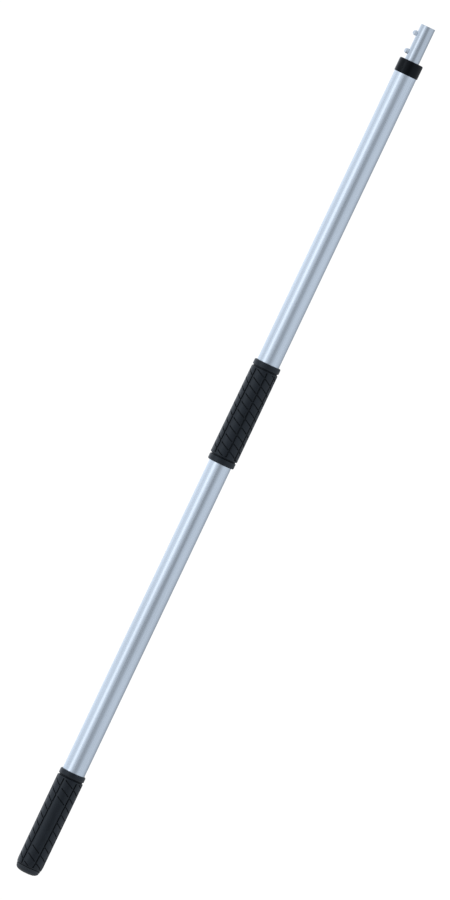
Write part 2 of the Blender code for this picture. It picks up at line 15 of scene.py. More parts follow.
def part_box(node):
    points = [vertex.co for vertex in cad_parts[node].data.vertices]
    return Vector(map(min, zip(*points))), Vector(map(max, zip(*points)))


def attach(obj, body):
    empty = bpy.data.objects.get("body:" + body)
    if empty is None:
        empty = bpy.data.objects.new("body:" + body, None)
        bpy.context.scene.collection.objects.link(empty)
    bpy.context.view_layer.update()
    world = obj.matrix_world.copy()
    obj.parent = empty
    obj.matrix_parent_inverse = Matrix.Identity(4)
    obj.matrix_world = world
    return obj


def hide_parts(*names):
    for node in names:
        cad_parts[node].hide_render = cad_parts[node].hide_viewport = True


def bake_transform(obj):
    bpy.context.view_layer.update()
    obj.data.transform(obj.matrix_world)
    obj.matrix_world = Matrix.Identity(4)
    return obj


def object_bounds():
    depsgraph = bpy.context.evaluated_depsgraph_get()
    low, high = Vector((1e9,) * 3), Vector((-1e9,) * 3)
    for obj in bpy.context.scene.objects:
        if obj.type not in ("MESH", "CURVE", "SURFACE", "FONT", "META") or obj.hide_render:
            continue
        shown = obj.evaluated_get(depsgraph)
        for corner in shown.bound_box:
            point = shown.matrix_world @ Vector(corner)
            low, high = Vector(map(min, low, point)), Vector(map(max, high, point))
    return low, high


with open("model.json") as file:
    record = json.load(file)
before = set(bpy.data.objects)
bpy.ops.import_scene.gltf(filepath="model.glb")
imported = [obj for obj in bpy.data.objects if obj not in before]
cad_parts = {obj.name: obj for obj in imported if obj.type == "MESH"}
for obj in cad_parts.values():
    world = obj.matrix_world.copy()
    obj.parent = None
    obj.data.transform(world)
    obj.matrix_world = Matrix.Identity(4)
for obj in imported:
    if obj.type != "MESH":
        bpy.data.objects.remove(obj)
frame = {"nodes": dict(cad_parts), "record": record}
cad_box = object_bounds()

MM = 0.001
NODES = frame["nodes"]


def centre_of(node):
    low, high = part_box(node)
    return [(a + b) / 2 for a, b in zip(low, high)]


def span(node):
    """A node's lowest and highest point along the pole."""
    low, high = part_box(node)
    return low[2], high[2]


def reach(node):
    """A turned node's largest radius."""
    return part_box(node)[1][1]


# ---------------------------------------------------------------- camera

LEAN = math.radians(25.45)  # how far the pole leans to the right in the picture
CAMERA_DISTANCE = 10.0
CAMERA_HEIGHT = 0.95
PICTURE_HEIGHT = 0.9474  # what the picture's long side takes in at the pole
OFF_CENTRE = (0.0017, -0.0008)  # how far the pole's middle lies right of and above the picture's middle


def add_camera():
    bottom, top = cad_box[0].z, cad_box[1].z
    target = Vector((0, 0, (bottom + top) / 2))
    place = Vector((0, -CAMERA_DISTANCE, CAMERA_HEIGHT))
    forward = (target - place).normalized()
    level = forward.cross(Vector((0, 0, 1))).normalized()
    upright = level.cross(forward)
    right = math.cos(LEAN) * level + math.sin(LEAN) * upright
    up = right.cross(forward)
    data = bpy.data.cameras.new("camera")
    data.sensor_width = 36
    data.lens = data.sensor_width * (target - place).length / PICTURE_HEIGHT
    data.clip_start, data.clip_end = 0.1, 100
    camera = bpy.data.objects.new("camera", data)
    place -= right * OFF_CENTRE[0] + up * OFF_CENTRE[1]
    axes = Matrix((right, up, -forward)).transposed()
    camera.matrix_world = Matrix.Translation(place) @ axes.to_4x4()
    bpy.context.scene.collection.objects.link(camera)
    bpy.context.scene.camera = camera


# ---------------------------------------------------------------- materials


class Shader:
    """A material with a Principled shader and short ways to add procedural nodes to it."""

    def __init__(self, name, colour, roughness, metallic=0.0):
        self.material = bpy.data.materials.new(name)
        self.material.use_nodes = True
        self.material.diffuse_color = (*colour, 1)
        self.nodes = self.material.node_tree.nodes
        self.links = self.material.node_tree.links
        self.main = self.nodes["Principled BSDF"]
        self.main.inputs["Base Color"].default_value = (*colour, 1)
        self.main.inputs["Roughness"].default_value = roughness
        self.main.inputs["Metallic"].default_value = metallic

    def set(self, **values):
        for name, value in values.items():
            self.main.inputs[name.replace("_", " ")].default_value = value

    def add(self, kind, **inputs):
        node = self.nodes.new(kind)
        for name, value in inputs.items():
            self.feed(value, node.inputs[name.replace("_", " ")])
        return node

    def feed(self, value, socket):
        if isinstance(value, bpy.types.NodeSocket):
            self.links.new(value, socket)
        else:
            socket.default_value = value

    def place(self, scale):
        """The piece's own coordinates, in metres, times a scale for each axis."""
        where = self.add("ShaderNodeTexCoord").outputs["Object"]
        mapping = self.add("ShaderNodeMapping", Vector=where, Scale=scale)
        return mapping.outputs["Vector"]

    def noise(self, scale, detail=3.0, roughness=0.55):
        """Noise from 0 to 1, with its scale for each axis in features per metre."""
        where = self.place(scale)
        made = self.add("ShaderNodeTexNoise", Vector=where, Scale=1.0, Detail=detail, Roughness=roughness)
        return made.outputs["Fac"]

    def ramp(self, value, stops):
        """A colour ramp from (position, colour) stops. A colour can be one number for a grey."""
        node = self.add("ShaderNodeValToRGB", Fac=value)
        elements = node.color_ramp.elements
        while len(elements) < len(stops):
            elements.new(1.0)
        for element, (position, colour) in zip(elements, stops):
            element.position = position
            grey = isinstance(colour, float)
            element.color = (colour, colour, colour, 1) if grey else (*colour, 1)
        return node.outputs["Color"]

    def blend(self, factor, first, second, kind="MULTIPLY"):
        node = self.nodes.new("ShaderNodeMix")
        node.data_type = "RGBA"
        node.blend_type = kind
        self.feed(factor, node.inputs[0])
        self.feed(first, node.inputs[6])
        self.feed(second, node.inputs[7])
        return node.outputs[2]

    def colour(self, value):
        self.feed(value, self.main.inputs["Base Color"])

    def rough(self, value, low, high):
        node = self.add(
            "ShaderNodeMapRange", Value=value, From_Min=0.3, From_Max=0.7, To_Min=low, To_Max=high
        )
        self.feed(node.outputs["Result"], self.main.inputs["Roughness"])

    def rough_at_least(self, value):
        """Keeps the roughness from falling below another value, such as one that rises in the grooves."""
        rougher = self.nodes.new("ShaderNodeMath")
        rougher.operation = "MAXIMUM"
        self.feed(self.main.inputs["Roughness"].links[0].from_socket, rougher.inputs[0])
        self.feed(value, rougher.inputs[1])
        self.feed(rougher.outputs[0], self.main.inputs["Roughness"])

    def bump(self, value, depth, strength=1.0):
        """Relief from a 0 to 1 value, its depth in metres."""
        node = self.add("ShaderNodeBump", Height=value, Distance=depth, Strength=strength)
        self.feed(node.outputs["Normal"], self.main.inputs["Normal"])


def scaled(colour, factor):
    return tuple(c * factor for c in colour)


COOL = (0.80, 0.90, 1.0, 1.0)  # the sheen of the black pieces


def anodised(name, colour, rough):
    """Satin anodised extrusion: fine die lines along the tube, and slow changes of tone down its length."""
    made = Shader(name, colour, 0.3, 1.0)
    made.set(Anisotropic=0.25)
    lines = made.noise((1400, 1400, 7), 4.0)
    tone = made.noise((9, 9, 5), 1.0)
    fine = made.ramp(lines, [(0.3, scaled(colour, 0.93)), (0.7, scaled(colour, 1.04))])
    made.colour(made.blend(0.6, fine, made.ramp(tone, [(0.35, 0.90), (0.65, 1.0)])))
    made.rough(lines, *rough)
    made.bump(lines, 0.006 * MM, 0.5)
    return made.material


def rubber(name, colour, specular, rough=(0.36, 0.45)):
    """Moulded rubber: a matte skin with a fine grain and faint mottling, with painted shade in its grooves,
    where an ambient occlusion value darkens the base colour and raises the roughness.
    """
    made = Shader(name, colour, 0.6)
    made.set(Specular_IOR_Level=specular, Specular_Tint=COOL)
    mottle = made.noise((160, 160, 90), 4.0)
    grain = made.noise((2600, 2600, 2600), 2.0)
    skin = made.ramp(mottle, [(0.32, scaled(colour, 0.82)), (0.68, scaled(colour, 1.2))])
    # Painted shade: the ambient occlusion value (depth) darkens the base colour in the grooves and hollows,
    # where shade falls.
    groove_shade_ao = made.nodes.new("ShaderNodeAmbientOcclusion")
    groove_shade_ao.samples = 8
    groove_shade_ao.inputs["Distance"].default_value = 2 * MM
    depth = groove_shade_ao.outputs["AO"]
    made.colour(made.blend(1.0, skin, made.ramp(depth, [(0.35, 0.25), (0.85, 1.0)])))
    made.rough(mottle, *rough)
    dull = made.add("ShaderNodeMapRange", Value=depth, From_Min=0.35, From_Max=0.85, To_Min=1.0, To_Max=0.0)
    made.rough_at_least(dull.outputs["Result"])
    made.bump(grain, 0.03 * MM, 0.6)
    return made.material


def moulded(name, colour, rough, grain_depth=0.01 * MM, specular=0.5):
    """Injection-moulded plastic with a faint flow pattern."""
    made = Shader(name, colour, sum(rough) / 2)
    made.set(Specular_IOR_Level=specular, Specular_Tint=COOL)
    flow = made.noise((130, 130, 60), 3.0)
    grain = made.noise((3500, 3500, 3500), 1.0)
    made.colour(made.ramp(flow, [(0.3, scaled(colour, 0.9)), (0.7, scaled(colour, 1.1))]))
    made.rough(flow, *rough)
    made.bump(grain, grain_depth, 0.4)
    return made.material


def bright_steel(name, colour, rough, lines=(900, 900, 900), metallic=1.0):
    """Plated or polished steel with fine tool marks."""
    made = Shader(name, colour, sum(rough) / 2, metallic)
    marks = made.noise(lines, 3.0)
    made.colour(made.ramp(marks, [(0.3, scaled(colour, 0.9)), (0.7, scaled(colour, 1.05))]))
    made.rough(marks, *rough)
    made.bump(marks, 0.004 * MM, 0.4)
    return made.material


ANODISED = (0.71, 0.775, 0.85)
MATERIALS = {
    "anodised_aluminium": anodised("satin_anodised", ANODISED, (0.25, 0.33)),
    "black_rubber": rubber("charcoal_rubber", (0.0064, 0.0078, 0.0108), 0.40, (0.32, 0.40)),
    "black_plastic": moulded("gloss_black", (0.0010, 0.0012, 0.0016), (0.15, 0.20), specular=0.19),
    "white_acetal": moulded("natural_acetal", (0.76, 0.76, 0.72), (0.4, 0.5)),
    "grey_nylon": moulded("grey_nylon", (0.18, 0.19, 0.21), (0.42, 0.55), 0.02 * MM),
    "zinc_steel": bright_steel("zinc_plate", (0.62, 0.65, 0.68), (0.22, 0.36)),
    "spring_steel": bright_steel("spring_strip", (0.36, 0.37, 0.40), (0.24, 0.34), (60, 60, 1800)),
    "stainless_steel": bright_steel(
        "button_steel", (0.72, 0.78, 0.85), (0.5, 0.56), (5000, 5000, 5000), 0.75
    ),
}
INNER_ANODISED = anodised("dull_anodised", scaled(ANODISED, 0.86), (0.21, 0.28))
CAP_RUBBER = rubber("cap_rubber", (0.016, 0.018, 0.022), 0.5, (0.42, 0.55))


def finish_cad_nodes():
    """Gives every CAD node its slot's procedural material."""
    slots = {part["node"]: part["material_slot"] for part in frame["record"]["subparts"]}
    for name, node in NODES.items():
        for place in node.material_slots:
            place.material = MATERIALS[slots[name]]


# ---------------------------------------------------------------- shapes


def make(name, shape, slot, body, *replaced, smooth=38, look=None):
    """Links a bmesh as a visible piece that rides on a body and stands for CAD nodes."""
    bmesh.ops.recalc_face_normals(shape, faces=shape.faces)
    mesh = bpy.data.meshes.new(name)
    shape.to_mesh(mesh)
    shape.free()
    mesh.shade_smooth()
    mesh.set_sharp_from_angle(angle=math.radians(smooth))
    mesh.materials.append(look or MATERIALS[slot])
    piece = bpy.data.objects.new(name, mesh)
    bpy.context.scene.collection.objects.link(piece)
    if body:
        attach(piece, body)
    if replaced:
        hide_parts(*replaced)
    return piece


def arc(radius, height, size, start, end, steps=6):
    """Points of an arc in the (radius, height) plane, with angles in degrees from outwards towards up."""
    turns = [math.radians(start + (end - start) * i / steps) for i in range(steps + 1)]
    return [(radius + size * math.cos(a), height + size * math.sin(a)) for a in turns]


def lathe(profile, sides=128):
    """A turned solid. Its profile starts and ends on the axis, or closes on itself round a bore."""
    shape = bmesh.new()
    rings = []
    for radius, height in profile:
        if radius == 0:
            rings.append([shape.verts.new((0, 0, height))])
            continue
        turns = [2 * math.pi * i / sides for i in range(sides)]
        rings.append([shape.verts.new((radius * math.cos(a), radius * math.sin(a), height)) for a in turns])
    pairs = list(zip(rings, rings[1:]))
    if len(rings[0]) > 1:
        pairs.append((rings[-1], rings[0]))
    for lower, upper in pairs:
        for i in range(sides):
            j = (i + 1) % sides
            corners = [lower[i % len(lower)], lower[j % len(lower)]]
            corners += [upper[j % len(upper)], upper[i % len(upper)]]
            shape.faces.new(dict.fromkeys(corners))
    return shape


def turned_to(shape, direction, place):
    """Points a shape made round +Z along a direction, and moves it to its place."""
    turn = Vector(direction).to_track_quat("Z", "Y").to_matrix().to_4x4()
    bmesh.ops.transform(shape, matrix=Matrix.Translation(place) @ turn, verts=shape.verts)
    return shape


def with_holes(shape, cutters):
    """Cuts the cutter shapes out of a shape, and returns the result as a bmesh."""
    scratch = []
    for each in [shape, *cutters]:
        mesh = bpy.data.meshes.new("scratch")
        bmesh.ops.recalc_face_normals(each, faces=each.faces)
        each.to_mesh(mesh)
        each.free()
        scratch.append(bpy.data.objects.new("scratch", mesh))
        bpy.context.scene.collection.objects.link(scratch[-1])
    target = scratch[0]
    for cutter in scratch[1:]:
        modifier = target.modifiers.new("hole", "BOOLEAN")
        modifier.operation, modifier.solver, modifier.object = "DIFFERENCE", "EXACT", cutter
    result = bmesh.new()
    result.from_object(target, bpy.context.evaluated_depsgraph_get())
    for each in scratch:
        mesh = each.data
        bpy.data.objects.remove(each)
        bpy.data.meshes.remove(mesh)
    return result


def rod(radius, start, end, sides=48):
    return lathe([(0, start), (radius, start), (radius, end), (0, end)], sides)


# ---------------------------------------------------------------- tubes, cap, collar and buttons

OUTER_RADIUS = reach("outer_tube")
OUTER_WALL = 1.2 * MM
INNER_RADIUS = reach("inner_tube")
INNER_WALL = 1.1 * MM
BUTTONS = ("button_lower", "button_upper")
BUTTON_RADIUS = 2.8 * MM
BUTTON_HOLE_GAP = 0.3 * MM
TUBE_RING = 12 * MM
COLLAR_RADIUS = reach("top_collar") + 0.1 * MM
RIVET_RADIUS, RIVET_HEAD_RADIUS = 0.8 * MM, 1.1 * MM
RIVET_DEPTH = 3.7 * MM


def tube(radius, wall, start, end, edge):
    """A plain tube with lightly broken edges, in rings short enough to shade evenly."""
    inner = radius - wall
    low, high = start + edge, end - edge
    rings = round((high - low) / TUBE_RING)
    heights = [low + (high - low) * i / rings for i in range(1, rings)]
    return lathe([
        (inner, low), (inner + edge, start), (radius - edge, start), (radius, low),
        *[(radius, height) for height in heights],
        (radius, high), (radius - edge * 0.35, end - edge * 0.3), (radius - edge, end),
        (inner + edge, end), (inner, high),
        *[(inner, height) for height in reversed(heights)],
    ])


def outer_tube():
    shape = tube(OUTER_RADIUS, OUTER_WALL, *span("outer_tube"), 0.3 * MM)
    make("outer_tube_skin", shape, "anodised_aluminium", "outer_section", "outer_tube")


def inner_tube():
    shape = tube(INNER_RADIUS, INNER_WALL, *span("inner_tube"), 0.25 * MM)
    holes = []
    for button in BUTTONS:
        hole = rod(BUTTON_RADIUS + BUTTON_HOLE_GAP, INNER_RADIUS - 3 * MM, INNER_RADIUS + MM)
        holes.append(turned_to(hole, (-1, 0, 0), (0, 0, centre_of(button)[2])))
    skin = with_holes(shape, holes)
    make("inner_tube_skin", skin, "anodised_aluminium", "inner_section", "inner_tube", look=INNER_ANODISED)


def butt_cap():
    """A domed plug with a soft rim under the grip."""
    bottom, top = span("butt_cap")
    flat, dome, height = 5.0 * MM, 12.8 * MM, 4.6 * MM
    rim, rim_top = reach("butt_cap") + SKIN, bottom + 7.0 * MM
    stem = OUTER_RADIUS - OUTER_WALL - 0.2 * MM
    outline = [(0, bottom), (flat * 0.8, bottom + 0.02 * MM)]
    for i in range(16):
        turn = math.radians(6 * i)
        rise = height * (1 - math.cos(turn))
        outline.append((flat + (dome - flat) * math.sin(turn), bottom + 0.05 * MM + rise))
    outline += [(rim, rim_top - 0.5 * MM), (rim - 0.15 * MM, rim_top - 0.1 * MM), (rim - 0.5 * MM, rim_top)]
    outline += [(stem, rim_top), (stem, top - MM), (stem - 0.8 * MM, top), (7.7 * MM, top)]
    outline += [(7.7 * MM, bottom + 3 * MM), (0, bottom + 3 * MM)]
    make("butt_dome", lathe(outline), "black_rubber", "outer_section", "butt_cap", look=CAP_RUBBER)


def top_collar():
    """The cap over the outer tube's mouth, which the inner tube comes out of."""
    start, end = span("top_collar")
    radius = COLLAR_RADIUS
    inner, mouth = OUTER_RADIUS + 0.15 * MM, INNER_RADIUS + 0.5 * MM
    foot, head = 0.8 * MM, 1.6 * MM
    outline = [
        (mouth, end - 1.9 * MM), (inner, end - 1.9 * MM), (inner, start),
        *arc(radius - foot, start + foot, foot, -90, 0, 5),
        *arc(radius - head, end - head, head, 0, 90, 9),
        (mouth + 0.4 * MM, end), (mouth + 0.1 * MM, end - 0.1 * MM), (mouth, end - 0.4 * MM),
    ]
    make("collar_shell", lathe(outline), "black_plastic", "outer_section", "top_collar")


def collar_rivets():
    """A low domed head on each side of the collar, with its shank through the tube's wall."""
    for node in ("collar_rivet_front", "collar_rivet_back"):
        middle = Vector(centre_of(node))
        out = Vector((middle.x, middle.y, 0)).normalized()
        foot = COLLAR_RADIUS - RIVET_DEPTH
        head = [(0, foot), (RIVET_RADIUS, foot), (RIVET_RADIUS, COLLAR_RADIUS)]
        head += [(RIVET_HEAD_RADIUS, COLLAR_RADIUS), (1.0 * MM, COLLAR_RADIUS + 0.1 * MM)]
        head += [(0.7 * MM, COLLAR_RADIUS + 0.18 * MM), (0, COLLAR_RADIUS + 0.2 * MM)]
        shape = turned_to(lathe(head, 32), out, (0, 0, middle.z))
        make(node + "_head", shape, "black_plastic", "outer_section", node)


def snap_buttons():
    """Domed pins, with the flange that holds each in its hole and the neck riveted through the spring."""
    for node in BUTTONS:
        low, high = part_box(node)
        tip, tail = -low[0], -high[0]
        dome = BUTTON_RADIUS * 0.94
        flange = 5.8 * MM
        outline = [
            (0, tail), (1.3 * MM, tail), (1.7 * MM, tail + 0.3 * MM), (1.8 * MM, tail + 0.7 * MM),
            (MM, tail + 0.7 * MM), (MM, flange - 0.6 * MM), (3.4 * MM, flange - 0.6 * MM), (3.4 * MM, flange),
            (BUTTON_RADIUS, flange),
            *[(r + BUTTON_RADIUS - dome, z) for r, z in arc(0, tip - dome, dome, 0, 84, 14)],
            (0, tip),
        ]
        shape = turned_to(lathe(outline, 64), (-1, 0, 0), (0, 0, centre_of(node)[2]))
        make(node + "_pin", shape, "stainless_steel", "snap_buttons", node, smooth=30)


def snap_spring():
    """The hairpin strip, with its front leg under the buttons and its back leg on the tube's wall. It rides
    on no body.
    """
    low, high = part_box("snap_spring")
    gauge, half_width = 0.6 * MM, high[1]
    front, back = low[0] + gauge / 2, high[0] - gauge / 2
    middle, bend = (front + back) / 2, (back - front) / 2
    bend_height, back_top = low[2] + bend + gauge / 2, 940.0 * MM

    def face(offset):
        turns = [math.radians(180 + 7.5 * i) for i in range(25)]
        size = bend + offset
        down = [(front - offset, high[2] + (bend_height - high[2]) * i / 12) for i in range(12)]
        bottom = [(middle + size * math.cos(a), bend_height + size * math.sin(a)) for a in turns]
        up = [(back + offset, bend_height + (back_top - bend_height) * i / 6) for i in range(1, 7)]
        return down + bottom + up

    outside, inside = face(gauge / 2), face(-gauge / 2)
    shape = bmesh.new()
    rows = []
    for x, z, u, v in [(*a, *b) for a, b in zip(outside, inside)]:
        corners = [(x, -half_width, z), (x, half_width, z), (u, half_width, v), (u, -half_width, v)]
        rows.append([shape.verts.new(c) for c in corners])
    for lower, upper in zip(rows, rows[1:]):
        for i in range(4):
            shape.faces.new((lower[i], lower[(i + 1) % 4], upper[(i + 1) % 4], upper[i]))
    shape.faces.new(rows[0])
    shape.faces.new(rows[-1])
    holes = []
    for node in BUTTONS:
        hole = rod(1.3 * MM, -front - MM, -front + MM, 32)
        holes.append(turned_to(hole, (-1, 0, 0), (0, 0, centre_of(node)[2])))
    strip = make("snap_strip", with_holes(shape, holes), "spring_steel", None, "snap_spring")
    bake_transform(strip)


# ---------------------------------------------------------------- grips

GRIP_BORE = OUTER_RADIUS + 0.12 * MM
SKIN = 0.2 * MM  # how far the pads stand proud of the plain CAD sleeve
CUT_STARTS = 5  # the slanted cuts are this many interleaved helices
CUT_DEPTH = 1.1 * MM
CUT_LIP, CUT_FLOOR = 0.66 * MM, 0.36 * MM  # half widths, measured along the pole
GROOVE_DEPTH = 1.3 * MM
GROOVE_LIP, GROOVE_FLOOR = 0.80 * MM, 0.50 * MM  # half widths, measured round the pole
SHOULDER, SHOULDER_DROP = 0.55 * MM, 0.12 * MM  # the pads' softened edges
PLAIN_BAND = 1.5 * MM  # no groove runs closer than this to the body's ends
CUT_RUN_OUT = 1.2  # degrees over which a cut fades at a gap
CUT_OVERRUN = 0.3  # degrees that a cut may reach into its gap


def between(value, points):
    """Linear interpolation in a list of (position, value) points."""
    if value <= points[0][0]:
        return points[0][1]
    for (a, low), (b, high) in zip(points, points[1:]):
        if value <= b:
            return low + (high - low) * (value - a) / (b - a)
    return points[-1][1]


class Grip:
    """A rubber sleeve whose body is a sheet of pads, laid out flat as (angle, height) and then wrapped."""

    def __init__(self, node, body, radii, twist, grooves, panels, pitch, first, bend=(0, 0)):
        """The pitch is between slanted cuts along the pole, and first is one cut's (angle, height).

        A panel is what lies between two grooves, as (low gap, high gap, kept): the degrees that its
        cuts stop short of each groove, and which of the numbered cuts it has, or None for all.
        """
        self.node, self.body, self.radii = node, body, radii
        self.pitch, self.slope = pitch, CUT_STARTS * pitch / 360
        self.middle = (body[0] + body[1]) / 2
        self.twist = twist / (body[1] - body[0])
        self.grooves, self.panels = grooves, panels
        self.first_cut = first[1] + self.slope * first[0]
        self.bend_base, self.bend = bend

    def angle(self, base, height):
        return base + self.twist * (height - self.middle)

    def bent(self, base, height):
        """How far the pattern is pushed round at one groove, near the body's foot."""
        nearness = math.exp(-(((base - self.bend_base) / 17) ** 2))
        low = between(height - self.body[0], [(0, 1.0), (7 * MM, 0.55), (14 * MM, 0.22), (24 * MM, 0.0)])
        return self.bend * nearness * low

    def columns(self):
        """The base angles of the sheet's columns, from the first groove once round."""
        degree = math.degrees(1 / self.radii[0][1])
        lip, floor, shoulder = GROOVE_LIP * degree, GROOVE_FLOOR * degree, SHOULDER * degree
        made = []
        ends = self.grooves[1:] + [self.grooves[0] + 360]
        for start, end, (low_gap, high_gap, _) in zip(self.grooves, ends, self.panels):
            own = [start - lip, start - floor, start + floor, start + lip, start + lip + shoulder]
            first, last = start + lip + shoulder, end - lip - shoulder
            gaps = [start + low_gap] * bool(low_gap) + [end - high_gap] * bool(high_gap)
            stops = [first, *gaps, last]
            for a, b in zip(stops, stops[1:]):
                steps = max(1, round((b - a) / 4.5))
                own += [a + (b - a) * i / steps for i in range(1, steps + 1)]
            if low_gap:
                own.append(start + low_gap - CUT_RUN_OUT)
            if high_gap:
                own.append(end - high_gap + CUT_RUN_OUT)
            made += own
        made = sorted(set(round(a, 4) for a in made))
        return [a for i, a in enumerate(made) if i == 0 or a - made[i - 1] > 0.05]

    def panel(self, base):
        """The panel that a base angle lies in, as its edges and its cuts' gaps."""
        turn = (base - self.grooves[0]) % 360 + self.grooves[0]
        ends = self.grooves[1:] + [self.grooves[0] + 360]
        for start, end, rest in zip(self.grooves, ends, self.panels):
            if turn <= end:
                return turn, start, end, rest
        raise ValueError(base)

    def depth(self, base, height):
        """How far the surface lies below the pads."""
        turn, start, end, (low_gap, high_gap, kept) = self.panel(base)
        away = min(turn - start, end - turn) * math.radians(1) * self.radii[0][1]
        fade_points = [(PLAIN_BAND - 0.35 * MM, 0.0), (PLAIN_BAND + 0.35 * MM, 1.0)]
        fade = between(min(height - self.body[0], self.body[1] - height), fade_points)
        flank = [(GROOVE_FLOOR, GROOVE_DEPTH), (GROOVE_LIP, SHOULDER_DROP), (GROOVE_LIP + SHOULDER, 0)]
        groove = between(away, flank)
        line = height + self.slope * self.angle(base, height) - self.first_cut
        number = round(line / self.pitch)
        off = abs(line - number * self.pitch)
        cut = between(off, [(CUT_FLOOR, CUT_DEPTH), (CUT_LIP, 0)])
        inside_low = turn - start - low_gap if low_gap else math.inf
        inside_high = end - turn - high_gap if high_gap else math.inf
        if min(inside_low, inside_high) < -CUT_OVERRUN or (kept and not kept(number)):
            cut = 0
        edge = between(min(height - self.body[0], self.body[1] - height), [(0, 0.25 * MM), (0.5 * MM, 0)])
        return max(groove * fade, cut * fade, edge)

    def sheet(self):
        """The flat sheet: columns along the grooves, rows along the cuts, trimmed to the body's ends."""
        columns = self.columns()
        columns.append(columns[0] + 360)
        across_cut = [-CUT_LIP, -CUT_FLOOR, CUT_FLOOR, CUT_LIP]
        across_pad = [1.1 * MM, 3.6 * MM, 6.2 * MM, self.pitch - 1.1 * MM]
        steps = across_cut + across_pad
        lowest = self.body[0] + self.slope * columns[0] - 3 * self.pitch - self.first_cut
        highest = self.body[1] + self.slope * columns[-1] + 3 * self.pitch - self.first_cut
        turns = range(math.floor(lowest / self.pitch), math.ceil(highest / self.pitch))
        rows = [self.first_cut + n * self.pitch + s for n in turns for s in steps]
        shape = bmesh.new()
        lean = 1 + self.slope * self.twist
        grid = []
        for base in columns:
            lift = self.slope * (base - self.twist * self.middle)
            grid.append([(base, (row - lift) / lean) for row in rows])
        made = [[shape.verts.new((x, y, 0)) for x, y in column] for column in grid]
        for left, right in zip(made, made[1:]):
            for j in range(len(rows) - 1):
                shape.faces.new((left[j], right[j], right[j + 1], left[j + 1]))
        inset = [0.5 * MM, PLAIN_BAND - 0.35 * MM, PLAIN_BAND + 0.35 * MM]
        marks = [(self.body[0], -1), (self.body[1], 1)]
        marks += [(self.body[0] + i, 0) for i in inset] + [(self.body[1] - i, 0) for i in inset]
        for height, side in marks:
            parts = shape.verts[:] + shape.edges[:] + shape.faces[:]
            place, facing = (0, height, 0), (0, side or 1, 0)
            bmesh.ops.bisect_plane(
                shape, geom=parts, dist=1e-7, plane_co=place, plane_no=facing, clear_outer=bool(side)
            )
        return shape

    def wrap(self, shape):
        """Rolls the flat sheet round the pole and welds its seam."""
        for vert in shape.verts:
            base, height = vert.co.x, vert.co.y
            radius = between(height, self.radii)
            radius -= min(self.depth(base, height), radius - GRIP_BORE - 0.25 * MM)
            turn = math.radians(self.angle(base, height) + self.bent(base, height))
            vert.co = (radius * math.sin(turn), -radius * math.cos(turn), height)
        bmesh.ops.remove_doubles(shape, verts=shape.verts, dist=1e-6)

    def rim(self, shape, height, rings):
        """Carries the body's end on through a list of (radius, height) rings, and returns the last ring."""
        loop = [v for v in shape.verts if v.is_boundary and abs(v.co.z - height) < 1e-6]
        loop.sort(key=lambda v: math.atan2(v.co.x, -v.co.y))
        turns = [math.atan2(v.co.x, -v.co.y) for v in loop]
        for radius, z in rings:
            new = [shape.verts.new((radius * math.sin(a), -radius * math.cos(a), z)) for a in turns]
            for i in range(len(loop)):
                j = (i + 1) % len(loop)
                shape.faces.new((loop[i], loop[j], new[j], new[i]))
            loop = new
        return loop

    def build(self, name, lower_rings, upper_rings):
        shape = self.sheet()
        self.wrap(shape)
        ends = []
        for height, rings in ((self.body[0], lower_rings), (self.body[1], upper_rings)):
            loop = self.rim(shape, height, rings)
            edges = [shape.edges.get((loop[i - 1], loop[i])) for i in range(len(loop))]
            ends += edges
        bmesh.ops.bridge_loops(shape, edges=ends)
        make(name, shape, "black_rubber", "outer_section", self.node, smooth=42)


def flange(radius, start, width, up, notch=1.9 * MM):
    """The rings of a notch and the flange beyond it, from the body's end at start, upwards or downwards."""
    way = 1 if up else -1
    rounding = 1.4 * MM
    outline = [
        (radius - 0.9 * MM, 0.3 * MM), (radius - 1.3 * MM, 0.65 * MM), (radius - 1.3 * MM, 0.95 * MM),
        (radius - 0.9 * MM, notch - 0.35 * MM), (radius - 0.2 * MM, notch - 0.1 * MM),
        (radius, notch + 0.15 * MM),
    ]
    end = notch + width
    outline += arc(radius - rounding, end - rounding, rounding, 0, 90, 6)
    outline += [(GRIP_BORE + 0.3 * MM, end), (GRIP_BORE, end - 0.3 * MM)]
    return [(r, start + way * z) for r, z in outline]


def mid_grip():
    bottom, top = span("mid_grip")
    body = (bottom + 8.1 * MM, top - 8.0 * MM)
    radius = reach("mid_grip") + SKIN
    shared = (360 - 51.75 - 42) / 5
    grooves = [-41, 10.75, 52.75] + [52.75 + shared * i for i in range(1, 5)]
    panels = [
        (9.5, 0, None), (0, 6, None), (0, 9.5, None), (9.5, 0, None),
        (0, 9.5, None), (9.5, 0, None), (9.5, 0, None),
    ]
    radii = [(body[0], radius + 0.4 * MM), (body[1], radius)]
    grip = Grip("mid_grip", body, radii, 5.3, grooves, panels, 9.51 * MM, (-32, 490.9 * MM))
    lower = flange(radius, body[0], body[0] - bottom - 1.9 * MM, up=False)
    upper = flange(radius, body[1], top - body[1] - 1.9 * MM, up=True)
    grip.build("mid_grip_pads", lower, upper)


def bottom_grip():
    bottom, top = span("bottom_grip")
    body = (bottom, top - 7.8 * MM)
    radius = reach("bottom_grip") + SKIN
    shared = 300 / 6
    grooves = [-32, 27.5] + [27.5 + shared * i for i in range(1, 6)]

    def kept(number):
        return number <= 2 or number >= 8

    panels = [
        (11.5, 8, kept), (0, 9.5, None), (9.5, 0, None), (0, 9.5, None),
        (9.5, 0, None), (0, 9.5, None), (9.5, 0, None),
    ]
    radii = [
        (body[0], radius - 0.65 * MM), (body[0] + 1.2 * MM, radius - 0.35 * MM), (body[0] + 4 * MM, radius),
        (body[1], radius + 0.2 * MM),
    ]
    first = (-24, body[0] + 3.9 * MM)
    grip = Grip("bottom_grip", body, radii, 13, grooves, panels, 9.75 * MM, first, bend=(28.5, -3.5))
    lower = [(13.2 * MM, body[0]), (GRIP_BORE, body[0])]
    upper = flange(radius, body[1], top - body[1] - 1.9 * MM, up=True)
    grip.build("bottom_grip_pads", lower, upper)


# ---------------------------------------------------------------- stage and light

FLOOR_DROP = 0.3
FLOOR_RADIUS = 0.8


